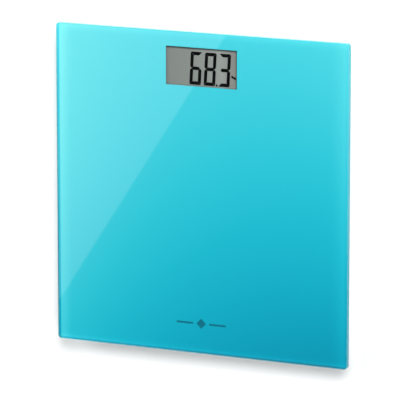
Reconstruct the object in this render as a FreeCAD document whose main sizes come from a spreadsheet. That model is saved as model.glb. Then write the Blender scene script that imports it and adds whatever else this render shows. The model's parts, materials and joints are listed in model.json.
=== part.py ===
"""A digital glass platform scale, built as the assembly that comes apart on a bench.

Row frame, in millimetres: the scale lies on its four feet, +Z up, +Y towards the display,
origin on the floor under the middle of the platform.
"""

import FreeCAD
import Part
import Sketcher
import math
import os
import re
from FreeCAD import Placement, Rotation, Vector

DOC = FreeCAD.newDocument("platform_scale")

# ---------------------------------------------------------------- driving dimensions

SIZES = {
    # glass platform, with its printed back
    "glass_width": 280,
    "glass_depth": 285,
    "glass_thick": 5,
    "glass_corner": 3,
    "glass_arris": 0.7,
    "glass_top": 22,
    "print_gap": 0.03,
    "print_thick": 0.17,
    "print_margin": 0.1,
    "window_width": 68,
    "window_depth": 33.95,
    "window_y": 111.8,
    "emblem_y": -116.2,
    "emblem_diamond": 6.6,
    "emblem_bar_length": 16,
    "emblem_bar_height": 1.8,
    "emblem_bar_x": 15.8,
    # adhesive between the glass and what hangs under it
    "tape_thick": 0.6,
    "tape_width": 4,
    "tape_inset": 6.2,
    "seat_tape_size": 36,
    # moulded base tray
    "tray_inset": 9,
    "tray_bottom": 5,
    "tray_floor": 2,
    "tray_wall": 1.8,
    "tray_corner": 15,
    "tray_edge": 2.4,
    "flange_inset": 3.2,
    "flange_thick": 1.6,
    "flange_corner": 18,
    "rib_thick": 1.5,
    "rib_top": 12,
    "rib_x": 58,
    "rib_y": 48,
    "rib_pitch": 53,
    # corner wells, feet and load cells
    "foot_x": 98,
    "foot_y": 100,
    "well_outer": 46,
    "well_inner": 42.4,
    "lead_gap_width": 7,
    "foot_radius": 18.5,
    "foot_bottom": 1.5,
    "foot_chamfer": 0.6,
    "foot_gap": 0.7,
    "foot_recess": 22.5,
    "foot_recess_deep": 0.6,
    "foot_lip_radius": 20.5,
    "foot_lip_bottom": 7.3,
    "foot_lip_top": 8.5,
    "foot_inner_radius": 16.6,
    "foot_web_top": 4,
    "foot_boss_radius": 7,
    "foot_boss_top": 10.1,
    "foot_rib_top": 7.8,
    "foot_rib_thick": 1.4,
    "pad_radius": 16.3,
    "pad_seat_radius": 16.6,
    "pad_thick": 2,
    "pad_groove": 0.5,
    "button_radius": 4.5,
    "button_bottom": 9.6,
    "button_play": 0.2,
    "rivet_radius": 1.5,
    "rivet_head_radius": 2.4,
    "rivet_head_thick": 0.6,
    "cell_size": 34,
    "cell_corner": 2,
    "cell_thick": 2,
    "cell_bottom": 11.2,
    "cell_window": 20,
    "tongue_width": 12,
    "tongue_notch": 1.6,
    "tongue_notch_y": 6.3,
    "cell_screw_at": 13.4,
    "cell_screw_hole": 1.6,
    "cell_screw_head": 2.6,
    "cell_screw_shank": 1.15,
    "cell_screw_length": 4,
    "seat_size": 40,
    "seat_pocket": 24,
    "seat_pocket_deep": 1.6,
    "seat_channel": 5,
    "seat_pilot": 1.2,
    "seat_pilot_deep": 2.2,
    "gauge_width": 8,
    "gauge_length": 5,
    "gauge_thick": 1.3,
    "gauge_round": 0.4,
    "gauge_y": 6.6,
    # display, board and what is on it
    "board_width": 96,
    "board_depth": 62,
    "board_y": 100,
    "board_bottom": 10.4,
    "board_thick": 1,
    "board_screw_x": 44.5,
    "board_screw_y": 27,
    "board_screw_hole": 1.4,
    "board_screw_head": 2.2,
    "board_screw_shank": 0.95,
    "board_screw_length": 3.6,
    "post_radius": 3.2,
    "post_pilot": 1,
    "post_pilot_deep": 3,
    "screw_head_thick": 1.2,
    "screw_cross_width": 0.6,
    "screw_cross_deep": 0.6,
    "display_y": 110,
    "holder_width": 79,
    "holder_depth": 42,
    "holder_top": 16.6,
    "holder_play": 0.2,
    "holder_open_width": 68.4,
    "holder_open_depth": 36,
    "holder_open_y": 109.4,
    "holder_pin_x": 38.3,
    "holder_pin_y": 16,
    "holder_pin_radius": 0.8,
    "holder_pin_play": 0.05,
    "holder_pin_out": 0.8,
    "lcd_width": 74,
    "lcd_depth": 38.6,
    "lcd_top": 15.4,
    "lcd_ledge": 4,
    "lcd_glass": 1,
    "reflector_thick": 0.3,
    "zebra_thick": 2.2,
    "zebra_length": 66,
    "chip_x": -22,
    "chip_y": 79,
    "chip_radius": 5.5,
    "chip_tall": 1.4,
    "capacitor_length": 2,
    "capacitor_width": 1.25,
    "capacitor_tall": 0.6,
    "resistor_length": 1.6,
    "resistor_width": 0.8,
    "resistor_tall": 0.5,
    "memory_length": 5,
    "memory_width": 4,
    "memory_tall": 1.3,
    "filter_length": 3.5,
    "filter_width": 2.8,
    "filter_tall": 1.9,
    "crystal_radius": 1.5,
    "crystal_tall": 3.6,
    "part_row_y": 75,
    "part_row_pitch": 5,
    "part_row_x": -8,
    "part_row_gap": 4.2,
    "memory_x": 20,
    "filter_x": 1,
    # battery bay
    "bay_y": 80,
    "bay_block_width": 36,
    "bay_block_depth": 42,
    "bay_block_top": 9.4,
    "bay_ring_radius": 12.4,
    "bay_ceiling": 6.8,
    "coin_hole_radius": 10.4,
    "coin_radius": 10,
    "coin_thick": 3.2,
    "coin_bottom": 6.75,
    "clip_thick": 0.3,
    "clip_width": 5,
    "clip_bottom": 7.6,
    "clip_tab": 2.2,
    "clip_play": 0.5,
    "leaf_length": 14,
    "leaf_width": 4,
    "leaf_thick": 0.2,
    "leaf_dimple": 1.5,
    "door_width": 27.6,
    "door_thick": 1.5,
    "door_gap": 0.3,
    "door_axis_y": 95,
    "door_axis_z": 6.6,
    "door_bead": 1.6,
    "door_bead_gap": 0.25,
    "door_end_y": 64.4,
    "door_pin_radius": 0.8,
    "door_pin_play": 0.08,
    "door_pin_length": 1.5,
    "door_ridge_length": 12,
    "door_ridge_width": 0.7,
    "door_ridge_pitch": 1.8,
    "door_ridge_deep": 0.4,
    "latch_width": 8,
    "latch_thick": 1,
    "latch_slit": 1.4,
    "latch_catch": 0.7,
    "latch_axis_z": 9.3,
    "latch_root": 0.5,
    "latch_root_play": 0.08,
    "latch_hood": 1,
    "latch_slot_gap": 0.9,
    "scoop_radius": 6,
    "scoop_width": 14,
    "scoop_away": 3.2,
    # unit button
    "unit_x": 34,
    "unit_y": 80,
    "unit_radius": 4,
    "unit_gap": 0.3,
    "unit_dish": 7,
    "unit_lip": 1.2,
    "unit_lip_bottom": 7.1,
    "unit_lip_thick": 0.7,
    "unit_face": 5.3,
    "unit_stem": 2,
    "unit_top": 8.2,
    "switch_size": 6,
    "switch_bottom": 8.8,
    "switch_bore": 1.2,
    "plunger_radius": 1.6,
    "plunger_play": 0.1,
    "plunger_inside": 0.8,
    # rating label
    "label_width": 66,
    "label_depth": 34,
    "label_thick": 0.15,
    "label_y": -34,
    # leads
    "lead_radius": 0.5,
    "lead_pitch": 1.15,
    "lead_height": 13.75,
}

# Levels and spans that follow from the driving dimensions, kept as formulas in the sheet.
DERIVED = {
    "glass_bottom": "glass_top - glass_thick",
    "print_bottom": "glass_bottom - print_gap - print_thick",
    "tray_top": "print_bottom - tape_thick",
    "tray_width": "glass_width - 2 * tray_inset",
    "tray_depth": "glass_depth - 2 * tray_inset",
    "floor_top": "tray_bottom + tray_floor",
    "cell_top": "cell_bottom + cell_thick",
    "well_middle": "(well_outer + well_inner) / 4",
    "board_top": "board_bottom + board_thick",
    "lcd_bottom": "lcd_top - 2 * lcd_glass",
    "recess_width": "door_width + 2 * door_gap",
    "groove_radius": "door_bead + door_bead_gap",
    "latch_inner": "door_end_y + latch_thick",
    "latch_axis_y": "door_end_y + latch_thick / 2",
    "riser_y": "latch_inner + latch_slit",
}

SHEET = DOC.addObject("Spreadsheet::Sheet", "Sizes")
for row, (alias, content) in enumerate({**SIZES, **DERIVED}.items(), start=1):
    SHEET.set(f"A{row}", alias)
    SHEET.set(f"B{row}", f"={content}" if isinstance(content, str) else str(content))
    SHEET.setAlias(f"B{row}", alias)
DOC.recompute()

# The corners: name, side in X, side in Y, and the turn that points the load cell's root at its leads.
CORNERS = (
    ("display_left", -1, 1, -90),
    ("display_right", 1, 1, 90),
    ("heel_left", -1, -1, 0),
    ("heel_right", 1, -1, 0),
)

# The middle lead's route on the right side, chosen by hand: inward and along from the foot's axis, and
# down from lead_height. It starts at the gauge and ends on the board.
DISPLAY_ROUTE = ((9.1, 0, 0), (19, 0, 0), (30, -1, 0.15), (41, -2.8, 0.75), (52.5, -3.5, 1.8))
HEEL_ROUTE = (
    (0, 9.1, 0),
    (0, 38, 0),
    (5, 80, 0),
    (14, 124, 0),
    (28, 158, 0.15),
    (41, 173, 0.75),
    (52.5, 178, 1.8),
)

NODES = []


# ---------------------------------------------------------------- helpers


def bound(expression):
    """The expression with every alias written as a cell of the sheet."""

    def cell(word):
        return f"Sizes.{word[0]}" if word[0] in SIZES or word[0] in DERIVED else word[0]

    return re.sub(r"[a-z_]+", cell, str(expression))


def size(expression):
    """The number that an expression of aliases comes to."""
    found = SHEET.evalExpression(bound(expression))
    return float(getattr(found, "Value", found))


def bind(thing, **properties):
    """Binds properties to expressions; a double underscore stands for a dot."""
    for name, expression in properties.items():
        thing.setExpression(name.replace("__", "."), bound(expression))
    return thing


def keep(thing, label):
    """Marks a finished object as a sub-part, written under its label."""
    thing.Label = label
    NODES.append(thing)


def new_body(name):
    """A body, which may hold several separate solids."""
    body = DOC.addObject("PartDesign::Body", name)
    body.AllowCompound = True
    return body


def new_sketch(body, name, plane="XY_Plane", level="0"):
    """A sketch on one of the body's origin planes, lifted along its normal by level."""
    sketch = body.newObject("Sketcher::SketchObject", name)
    origin = next(f for f in body.Origin.OriginFeatures if f.Role == plane)
    sketch.AttachmentSupport = [(origin, "")]
    sketch.MapMode = "FlatFace"
    return bind(sketch, AttachmentOffset__Base__z=level)


def hold(sketch, kind, where, expression):
    """A dimension bound to an expression. A point that lies on an axis is held on it instead."""
    amount = size(expression)
    if abs(amount) < 1e-9 and kind in ("DistanceX", "DistanceY"):
        axis = -2 if kind == "DistanceX" else -1
        sketch.addConstraint(Sketcher.Constraint("PointOnObject", where[2], where[3], axis))
        return
    index = sketch.addConstraint(Sketcher.Constraint(kind, *where, amount))
    sketch.setExpression(f"Constraints[{index}]", bound(expression))


def outline(sketch, points):
    """A closed outline through points, each a pair of expressions."""
    first = sketch.GeometryCount
    count = len(points)
    places = [Vector(size(x), size(y), 0) for x, y in points]
    for i in range(count):
        sketch.addGeometry(Part.LineSegment(places[i], places[(i + 1) % count]), False)
    for i in range(count):
        meeting = (first + i, 2, first + (i + 1) % count, 1)
        sketch.addConstraint(Sketcher.Constraint("Coincident", *meeting))
    for i, (x, y) in enumerate(points):
        hold(sketch, "DistanceX", (-1, 1, first + i, 1), x)
        hold(sketch, "DistanceY", (-1, 1, first + i, 1), y)


def rectangle(sketch, width, depth, x="0", y="0"):
    """A rectangle centred on (x, y)."""
    left, right = f"({x}) - ({width}) / 2", f"({x}) + ({width}) / 2"
    low, high = f"({y}) - ({depth}) / 2", f"({y}) + ({depth}) / 2"
    outline(sketch, [(left, low), (right, low), (right, high), (left, high)])


def circle(sketch, radius, x="0", y="0"):
    """A circle centred on (x, y)."""
    ring = Part.Circle(Vector(size(x), size(y), 0), Vector(0, 0, 1), size(radius))
    index = sketch.addGeometry(ring, False)
    hold(sketch, "DistanceX", (-1, 1, index, 3), x)
    hold(sketch, "DistanceY", (-1, 1, index, 3), y)
    hold(sketch, "Radius", (index,), radius)


def cross(sketch, reach, width, x, y):
    """A plus sign centred on (x, y)."""
    signs = ((-1, -1), (1, -1), (1, 1), (-1, 1))
    points = []
    for i, (a, b) in enumerate(signs):
        inner = (f"({x}) + {a} * {width} / 2", f"({y}) + {b} * {width} / 2")
        upright_arm = (inner[0], f"({y}) + {b} * {reach}")
        level_arm = (f"({x}) + {a} * {reach}", inner[1])
        points += [level_arm, inner, upright_arm] if i % 2 == 0 else [upright_arm, inner, level_arm]
    outline(sketch, points)


def rounded_rectangle(sketch, width, depth, radius):
    """A rectangle about the origin whose corners are arcs."""
    w, d, r = size(width) / 2, size(depth) / 2, size(radius)
    rule = Sketcher.Constraint
    first = sketch.GeometryCount
    starts = [(-w + r, -d), (w, -d + r), (w - r, d), (-w, d - r)]
    ends = [(w - r, -d), (w, d - r), (-w + r, d), (-w, -d + r)]
    centres = [(w - r, -d + r), (w - r, d - r), (-w + r, d - r), (-w + r, -d + r)]
    for i in range(4):
        side = Part.LineSegment(Vector(*starts[i], 0), Vector(*ends[i], 0))
        ring = Part.Circle(Vector(*centres[i], 0), Vector(0, 0, 1), r)
        turn = math.radians(90 * i - 90)
        sketch.addGeometry(side, False)
        sketch.addGeometry(Part.ArcOfCircle(ring, turn, turn + math.pi / 2), False)
    for i in range(4):
        line, arc, following = first + 2 * i, first + 2 * i + 1, first + (2 * i + 2) % 8
        sketch.addConstraint(rule("Tangent", line, 2, arc, 1))
        sketch.addConstraint(rule("Tangent", arc, 2, following, 1))
        sketch.addConstraint(rule("Vertical" if i % 2 else "Horizontal", line))
    for i in range(1, 4):
        sketch.addConstraint(rule("Equal", first + 1, first + 2 * i + 1))
    sketch.addConstraint(rule("Symmetric", first + 1, 3, first + 5, 3, -1, 1))
    hold(sketch, "Radius", (first + 1,), radius)
    hold(sketch, "DistanceX", (first + 6, 1, first + 2, 1), width)
    hold(sketch, "DistanceY", (first, 1, first + 4, 1), depth)


def pad(body, sketch, length, down=False, both_ways=False):
    """Adds material along the sketch's normal, or against it."""
    feature = body.newObject("PartDesign::Pad", f"{sketch.Name}_pad")
    feature.Profile = sketch
    feature.Reversed = down
    if both_ways:
        feature.SideType = "Symmetric"
    bind(feature, Length=length)
    DOC.recompute()
    return feature


def pocket(body, sketch, length, upward=False, both_ways=False):
    """Cuts against the sketch's normal, or along it, and makes sure that something was cut."""
    before = body.Shape.Volume
    feature = body.newObject("PartDesign::Pocket", f"{sketch.Name}_pocket")
    feature.Profile = sketch
    feature.Reversed = upward
    if both_ways:
        feature.SideType = "Symmetric"
    bind(feature, Length=length)
    DOC.recompute()
    if not body.Shape.Volume < before - 1e-6:
        raise RuntimeError(f"{feature.Name} cuts nothing")


def revolve(body, sketch):
    """Turns a profile drawn in the XZ plane about the Z axis."""
    feature = body.newObject("PartDesign::Revolution", f"{sketch.Name}_turned")
    feature.Profile = sketch
    feature.ReferenceAxis = (sketch, ["V_Axis"])
    feature.Angle = 360
    DOC.recompute()


def dress(body, kind, property_name, expression, chosen):
    """A fillet or chamfer of the body's edges that the test named chosen picks."""
    base = body.Tip
    edges = [f"Edge{i}" for i, e in enumerate(base.Shape.Edges, start=1) if chosen(e)]
    feature = body.newObject(f"PartDesign::{kind}", f"{body.Name}_{kind.lower()}")
    feature.Base = (base, edges)
    bind(feature, **{property_name: expression})
    DOC.recompute()


def upright(edge):
    """True for a straight edge along Z."""
    ends = [v.Point for v in edge.Vertexes]
    return len(ends) == 2 and (ends[0] - ends[1]).cross(Vector(0, 0, 1)).Length < 1e-6


def at_level(expression):
    """A test for edges that lie wholly at one height."""
    level = size(expression)
    return lambda edge: max(abs(edge.BoundBox.ZMin - level), abs(edge.BoundBox.ZMax - level)) < 1e-6


def at_corner(thing, side_x, side_y, turn):
    """Moves an object made about the origin to its foot, turned about Z."""
    thing.Placement = Placement(Vector(), Rotation(Vector(0, 0, 1), turn))
    bind(thing, Placement__Base__x=f"{side_x} * foot_x", Placement__Base__y=f"{side_y} * foot_y")


def corner_places():
    """The middles of the four feet, as pairs of expressions."""
    return [(f"{side_x} * foot_x", f"{side_y} * foot_y") for _, side_x, side_y, _ in CORNERS]


def four_places(x, y, middle_y):
    """Four places about (0, middle_y), as pairs of expressions."""
    return [(f"{a} * {x}", f"{middle_y} + {b} * {y}") for a in (-1, 1) for b in (-1, 1)]


def box(name, width, depth, tall, x, y, z):
    """A box centred on (x, y) that stands on level z."""
    return bind(
        DOC.addObject("Part::Box", name),
        Length=width,
        Width=depth,
        Height=tall,
        Placement__Base__x=f"({x}) - ({width}) / 2",
        Placement__Base__y=f"({y}) - ({depth}) / 2",
        Placement__Base__z=z,
    )


def cylinder(name, radius, tall, x, y, z):
    """An upright cylinder that stands on level z."""
    return bind(
        DOC.addObject("Part::Cylinder", name),
        Radius=radius,
        Height=tall,
        Placement__Base__x=x,
        Placement__Base__y=y,
        Placement__Base__z=z,
    )


def together(name, things):
    """Several solids as one object, each a solid of its own."""
    group = DOC.addObject("Part::Compound", name)
    group.Links = things
    return group


def fused(name, things):
    """Several solids made one."""
    union = DOC.addObject("Part::MultiFuse", name)
    union.Shapes = things
    return union


# ---------------------------------------------------------------- platform


def platform_glass():
    body = new_body("platform_glass")
    sketch = new_sketch(body, "glass_outline", level="glass_bottom")
    rounded_rectangle(sketch, "glass_width", "glass_depth", "glass_corner")
    pad(body, sketch, "glass_thick")
    top, bottom = at_level("glass_top"), at_level("glass_bottom")
    dress(body, "Chamfer", "Size", "glass_arris", lambda e: top(e) or bottom(e))
    keep(body, "platform_glass")


def emblem_shapes(sketch):
    """A plain ornament: a lozenge between two bars."""
    half = "emblem_diamond / sqrt(2)"
    lozenge = [
        ("0", f"emblem_y - {half}"),
        (half, "emblem_y"),
        ("0", f"emblem_y + {half}"),
        (f"0 - {half}", "emblem_y"),
    ]
    outline(sketch, lozenge)
    for side in (-1, 1):
        middle = (f"{side} * emblem_bar_x", "emblem_y")
        rectangle(sketch, "emblem_bar_length", "emblem_bar_height", *middle)


def colour_print():
    """The coat on the glass's back, open at the display window and at the emblem."""
    body = new_body("colour_print")
    sketch = new_sketch(body, "print_outline", level="print_bottom")
    width, depth = "glass_width - 2 * print_margin", "glass_depth - 2 * print_margin"
    rounded_rectangle(sketch, width, depth, "glass_corner - print_margin")
    rectangle(sketch, "window_width", "window_depth", "0", "window_y")
    emblem_shapes(sketch)
    pad(body, sketch, "print_thick")
    keep(body, "colour_print")


def emblem_print():
    body = new_body("emblem_print")
    sketch = new_sketch(body, "emblem_outline", level="print_bottom")
    emblem_shapes(sketch)
    pad(body, sketch, "print_thick")
    keep(body, "emblem_print")


def bonding_tape():
    """Strips along the tray's flange and a square on each cell seat."""
    across = "glass_width / 2 - tape_inset"
    along = "glass_depth / 2 - tape_inset"
    strips = []
    for name, side in (("left", -1), ("right", 1)):
        length = "glass_depth - 2 * flange_inset - 2 * flange_corner"
        place = (f"{side} * ({across})", "0", "tray_top")
        strips.append(box(f"tape_{name}", "tape_width", length, "tape_thick", *place))
    for name, side in (("heel", -1), ("display", 1)):
        length = "glass_width - 2 * flange_inset - 2 * flange_corner"
        place = ("0", f"{side} * ({along})", "tray_top")
        strips.append(box(f"tape_{name}", length, "tape_width", "tape_thick", *place))
    for i, (x, y) in enumerate(corner_places()):
        square = ("seat_tape_size", "seat_tape_size", "tape_thick")
        strips.append(box(f"tape_seat_{i}", *square, x, y, "tray_top"))
    keep(together("tape_strips", strips), "bonding_tape")


# ---------------------------------------------------------------- base tray


def base_tray():
    body = new_body("base_tray")
    tray_shell(body)
    tray_ribs(body)
    tray_wells(body)
    tray_posts(body)
    battery_bay(body)
    battery_bay_slots(body)
    tray_openings(body)
    keep(body, "base_tray")


def tray_shell(body):
    """The outside with its rounded foot, the flange bonded to the glass, and the cavity."""
    outside = new_sketch(body, "tray_outline", level="tray_bottom")
    rounded_rectangle(outside, "tray_width", "tray_depth", "tray_corner")
    pad(body, outside, "tray_top - tray_bottom")
    dress(body, "Fillet", "Radius", "tray_edge", at_level("tray_bottom"))
    flange = new_sketch(body, "tray_flange", level="tray_top")
    width, depth = "glass_width - 2 * flange_inset", "glass_depth - 2 * flange_inset"
    rounded_rectangle(flange, width, depth, "flange_corner")
    pad(body, flange, "flange_thick", down=True)
    cavity = new_sketch(body, "tray_cavity", level="tray_top")
    width, depth = "tray_width - 2 * tray_wall", "tray_depth - 2 * tray_wall"
    rounded_rectangle(cavity, width, depth, "tray_corner - tray_wall")
    pocket(body, cavity, "tray_top - floor_top")


def tray_ribs(body):
    """Three ribs across, two along, and a middle one along the heel half."""
    across = new_sketch(body, "ribs_across", level="floor_top")
    for step in range(3):
        rectangle(across, "tray_width - tray_wall", "rib_thick", "0", f"rib_y - {step} * rib_pitch")
    pad(body, across, "rib_top - floor_top")
    along = new_sketch(body, "ribs_along", level="floor_top")
    for side in (-1, 1):
        rectangle(along, "rib_thick", "tray_depth - tray_wall", f"{side} * rib_x", "0")
    heel = "(tray_depth - tray_wall) / 2"
    rectangle(along, "rib_thick", f"{heel} + rib_y", "0", f"(rib_y - {heel}) / 2")
    pad(body, along, "rib_top - floor_top")


def tray_wells(body):
    """A square wall round each load cell's seat, lowered where the leads leave it."""
    walls = new_sketch(body, "cell_wells", level="floor_top")
    for place in corner_places():
        rectangle(walls, "well_outer", "well_outer", *place)
        rectangle(walls, "well_inner", "well_inner", *place)
    pad(body, walls, "tray_top - floor_top")
    gaps = new_sketch(body, "lead_gaps", level="tray_top")
    through = "well_outer - well_inner"
    for _, side_x, side_y, turn in CORNERS:
        if turn:
            place = (f"{side_x} * (foot_x - well_middle)", f"{side_y} * foot_y")
            rectangle(gaps, through, "lead_gap_width", *place)
        else:
            place = (f"{side_x} * foot_x", f"{side_y} * (foot_y - well_middle)")
            rectangle(gaps, "lead_gap_width", through, *place)
    pocket(body, gaps, "tray_top - cell_top + lead_radius")


def tray_posts(body):
    """The four posts that the circuit board is screwed to."""
    posts = new_sketch(body, "board_posts", level="floor_top")
    pilots = new_sketch(body, "board_pilots", level="board_bottom")
    for place in four_places("board_screw_x", "board_screw_y", "board_y"):
        circle(posts, "post_radius", *place)
        circle(pilots, "post_pilot", *place)
    pad(body, posts, "board_bottom - floor_top")
    pocket(body, pilots, "post_pilot_deep")


def battery_bay(body):
    """The block over the floor that takes the door, its hinge pins and the coin cell."""
    sunk = "tray_floor / 4"
    block = new_sketch(body, "bay_block", level=f"floor_top - {sunk}")
    rectangle(block, "bay_block_width", "bay_block_depth", "0", "bay_y")
    pad(body, block, f"bay_block_top - floor_top + {sunk}")
    ring = new_sketch(body, "bay_ring", level="floor_top")
    circle(ring, "bay_ring_radius", "0", "bay_y")
    pad(body, ring, "board_bottom - floor_top")
    recess = new_sketch(body, "door_recess", level="tray_bottom")
    low, high = "(door_end_y - door_gap)", "(door_axis_y + groove_radius)"
    rectangle(recess, "recess_width", f"{high} - {low}", "0", f"({high} + {low}) / 2")
    pocket(body, recess, "bay_ceiling - tray_bottom", upward=True)
    groove = new_sketch(body, "door_groove", plane="YZ_Plane")
    circle(groove, "groove_radius", "door_axis_y", "door_axis_z")
    pocket(body, groove, "recess_width", both_ways=True)
    sockets = new_sketch(body, "door_sockets", plane="YZ_Plane")
    circle(sockets, "door_pin_radius + door_pin_play", "door_axis_y", "door_axis_z")
    pocket(body, sockets, "recess_width + 2 * door_pin_length", both_ways=True)
    coin = new_sketch(body, "coin_hole", level="board_bottom")
    circle(coin, "coin_hole_radius", "0", "bay_y")
    pocket(body, coin, "board_bottom - bay_ceiling + tray_floor / 2")


def battery_bay_slots(body):
    """The latch's slot, the contact clip's slot and the scoop for a fingernail."""
    slot = new_sketch(body, "latch_slot", level="board_bottom")
    low, high = "(door_end_y - latch_catch - door_gap)", "(riser_y + 2 * door_gap + latch_thick)"
    width = "latch_width + 2 * latch_slot_gap"
    rectangle(slot, width, f"{high} - {low}", "0", f"({high} + {low}) / 2")
    pocket(body, slot, "board_bottom - bay_ceiling")
    clip = new_sketch(body, "clip_slot", level="board_bottom")
    room = ("clip_tab + 2 * clip_play", "clip_width + 2 * clip_play")
    rectangle(clip, *room, "0 - coin_radius - clip_tab / 2", "bay_y")
    pocket(body, clip, "board_bottom - clip_bottom + clip_play / 2")
    scoop = new_sketch(body, "nail_scoop", plane="YZ_Plane")
    circle(scoop, "scoop_radius", "door_end_y - scoop_away", "0")
    pocket(body, scoop, "scoop_width", both_ways=True)


def tray_openings(body):
    """The feet's holes, each in a shallow dish, and the unit button's hole in its own."""
    dishes = new_sketch(body, "floor_dishes", level="tray_bottom")
    holes = new_sketch(body, "floor_holes", level="tray_bottom")
    for place in corner_places():
        circle(dishes, "foot_recess", *place)
        circle(holes, "foot_radius + foot_gap", *place)
    circle(dishes, "unit_dish", "unit_x", "unit_y")
    circle(holes, "unit_radius + unit_gap", "unit_x", "unit_y")
    pocket(body, dishes, "foot_recess_deep", upward=True)
    pocket(body, holes, "tray_floor", upward=True)


# ---------------------------------------------------------------- corners


def foot(corner):
    """A cup with a lip that the tray's floor catches and a boss that carries the load button."""
    name, *where = corner
    body = new_body(f"foot_{name}")
    profile = new_sketch(body, f"foot_profile_{name}", plane="XZ_Plane")
    section = [
        ("0", "pad_thick"),
        ("pad_seat_radius", "pad_thick"),
        ("pad_seat_radius", "foot_bottom"),
        ("foot_radius - foot_chamfer", "foot_bottom"),
        ("foot_radius", "foot_bottom + foot_chamfer"),
        ("foot_radius", "foot_lip_bottom"),
        ("foot_lip_radius", "foot_lip_bottom"),
        ("foot_lip_radius", "foot_lip_top"),
        ("foot_inner_radius", "foot_lip_top"),
        ("foot_inner_radius", "foot_web_top"),
        ("foot_boss_radius", "foot_web_top"),
        ("foot_boss_radius", "foot_boss_top"),
        ("button_radius + button_play", "foot_boss_top"),
        ("button_radius + button_play", "button_bottom"),
        ("0", "button_bottom"),
    ]
    outline(profile, section)
    revolve(body, profile)
    sunk = "foot_chamfer / 2"
    rib = new_sketch(body, f"foot_rib_{name}", level=f"foot_web_top - {sunk}")
    reach, middle = "foot_inner_radius - foot_boss_radius", "(foot_inner_radius + foot_boss_radius) / 2"
    rectangle(rib, f"{reach} + 2 * {sunk}", "foot_rib_thick", middle, "0")
    one_rib = pad(body, rib, f"foot_rib_top - foot_web_top + {sunk}")
    ribs = body.newObject("PartDesign::PolarPattern", f"foot_ribs_{name}")
    ribs.Originals = [one_rib]
    ribs.Axis = (rib, ["N_Axis"])
    ribs.Angle = 360
    ribs.Occurrences = 6
    body.Tip = ribs
    DOC.recompute()
    at_corner(body, *where)
    keep(body, f"foot_{name}")


def foot_pad(corner):
    """A rubber disc with two ring grooves."""
    name, *where = corner
    body = new_body(f"foot_pad_{name}")
    profile = new_sketch(body, f"pad_profile_{name}", plane="XZ_Plane")
    section = [("0", "0")]
    for start in ("pad_radius / 3", "pad_radius * 2 / 3"):
        inner, outer = start, f"{start} + 3 * pad_groove"
        section += [(inner, "0"), (inner, "pad_groove"), (outer, "pad_groove"), (outer, "0")]
    section += [
        ("pad_radius - pad_groove", "0"),
        ("pad_radius", "pad_groove"),
        ("pad_radius", "pad_thick"),
        ("0", "pad_thick"),
    ]
    outline(profile, section)
    revolve(body, profile)
    at_corner(body, *where)
    keep(body, f"foot_pad_{name}")


def load_button(corner):
    """The steel button riveted through the cell's tongue, which the foot pushes."""
    name, *where = corner
    body = new_body(f"load_button_{name}")
    profile = new_sketch(body, f"button_profile_{name}", plane="XZ_Plane")
    section = [
        ("0", "button_bottom"),
        ("button_radius - foot_chamfer", "button_bottom"),
        ("button_radius", "button_bottom + foot_chamfer"),
        ("button_radius", "cell_bottom"),
        ("rivet_radius", "cell_bottom"),
        ("rivet_radius", "cell_top"),
        ("rivet_head_radius", "cell_top"),
        ("rivet_head_radius", "cell_top + rivet_head_thick"),
        ("0", "cell_top + rivet_head_thick"),
    ]
    outline(profile, section)
    revolve(body, profile)
    at_corner(body, *where)
    keep(body, f"load_button_{name}")


def load_cell(corner):
    """A stamped steel frame with a bending tongue, rooted on its +Y side."""
    name, *where = corner
    body = new_body(f"load_cell_{name}")
    plate = new_sketch(body, f"cell_plate_{name}", level="cell_bottom")
    rounded_rectangle(plate, "cell_size", "cell_size", "cell_corner")
    pad(body, plate, "cell_thick")
    window = new_sketch(body, f"cell_window_{name}", level="cell_top")
    rectangle(window, "cell_window", "cell_window")
    pocket(body, window, "cell_thick")
    tongue = new_sketch(body, f"cell_tongue_{name}", level="cell_bottom")
    length = "(cell_window / 2 + cell_thick)"
    rectangle(tongue, "tongue_width", length, "0", f"{length} / 2")
    pad(body, tongue, "cell_thick")
    tip = new_sketch(body, f"cell_tip_{name}", level="cell_bottom")
    circle(tip, "tongue_width / 2")
    pad(body, tip, "cell_thick")
    holes = new_sketch(body, f"cell_holes_{name}", level="cell_top")
    circle(holes, "rivet_radius + holder_pin_play")
    for side in (-1, 1):
        circle(holes, "cell_screw_hole", f"{side} * cell_screw_at", f"{-side} * cell_screw_at")
        circle(holes, "tongue_notch", f"{side} * tongue_width / 2", "tongue_notch_y")
    pocket(body, holes, "cell_thick")
    at_corner(body, *where)
    keep(body, f"load_cell_{name}")


def cell_seat(corner):
    """The block bonded under the glass that the load cell is screwed to, hollow over the tongue."""
    name, *where = corner
    body = new_body(f"cell_seat_{name}")
    block = new_sketch(body, f"seat_block_{name}", level="cell_top")
    rounded_rectangle(block, "seat_size", "seat_size", "cell_corner")
    pad(body, block, "tray_top - cell_top")
    hollow = new_sketch(body, f"seat_hollow_{name}", level="cell_top")
    rectangle(hollow, "seat_pocket", "seat_pocket")
    pocket(body, hollow, "seat_pocket_deep", upward=True)
    channel = new_sketch(body, f"seat_channel_{name}", level="cell_top")
    low, high = "(seat_pocket / 2 - cell_thick)", "(seat_size / 2 + cell_thick)"
    rectangle(channel, "seat_channel", f"{high} - {low}", "0", f"({high} + {low}) / 2")
    pocket(body, channel, "seat_pocket_deep", upward=True)
    pilots = new_sketch(body, f"seat_pilots_{name}", level="cell_top")
    for side in (-1, 1):
        circle(pilots, "seat_pilot", f"{side} * cell_screw_at", f"{-side} * cell_screw_at")
    pocket(body, pilots, "seat_pilot_deep", upward=True)
    at_corner(body, *where)
    keep(body, f"cell_seat_{name}")


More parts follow.
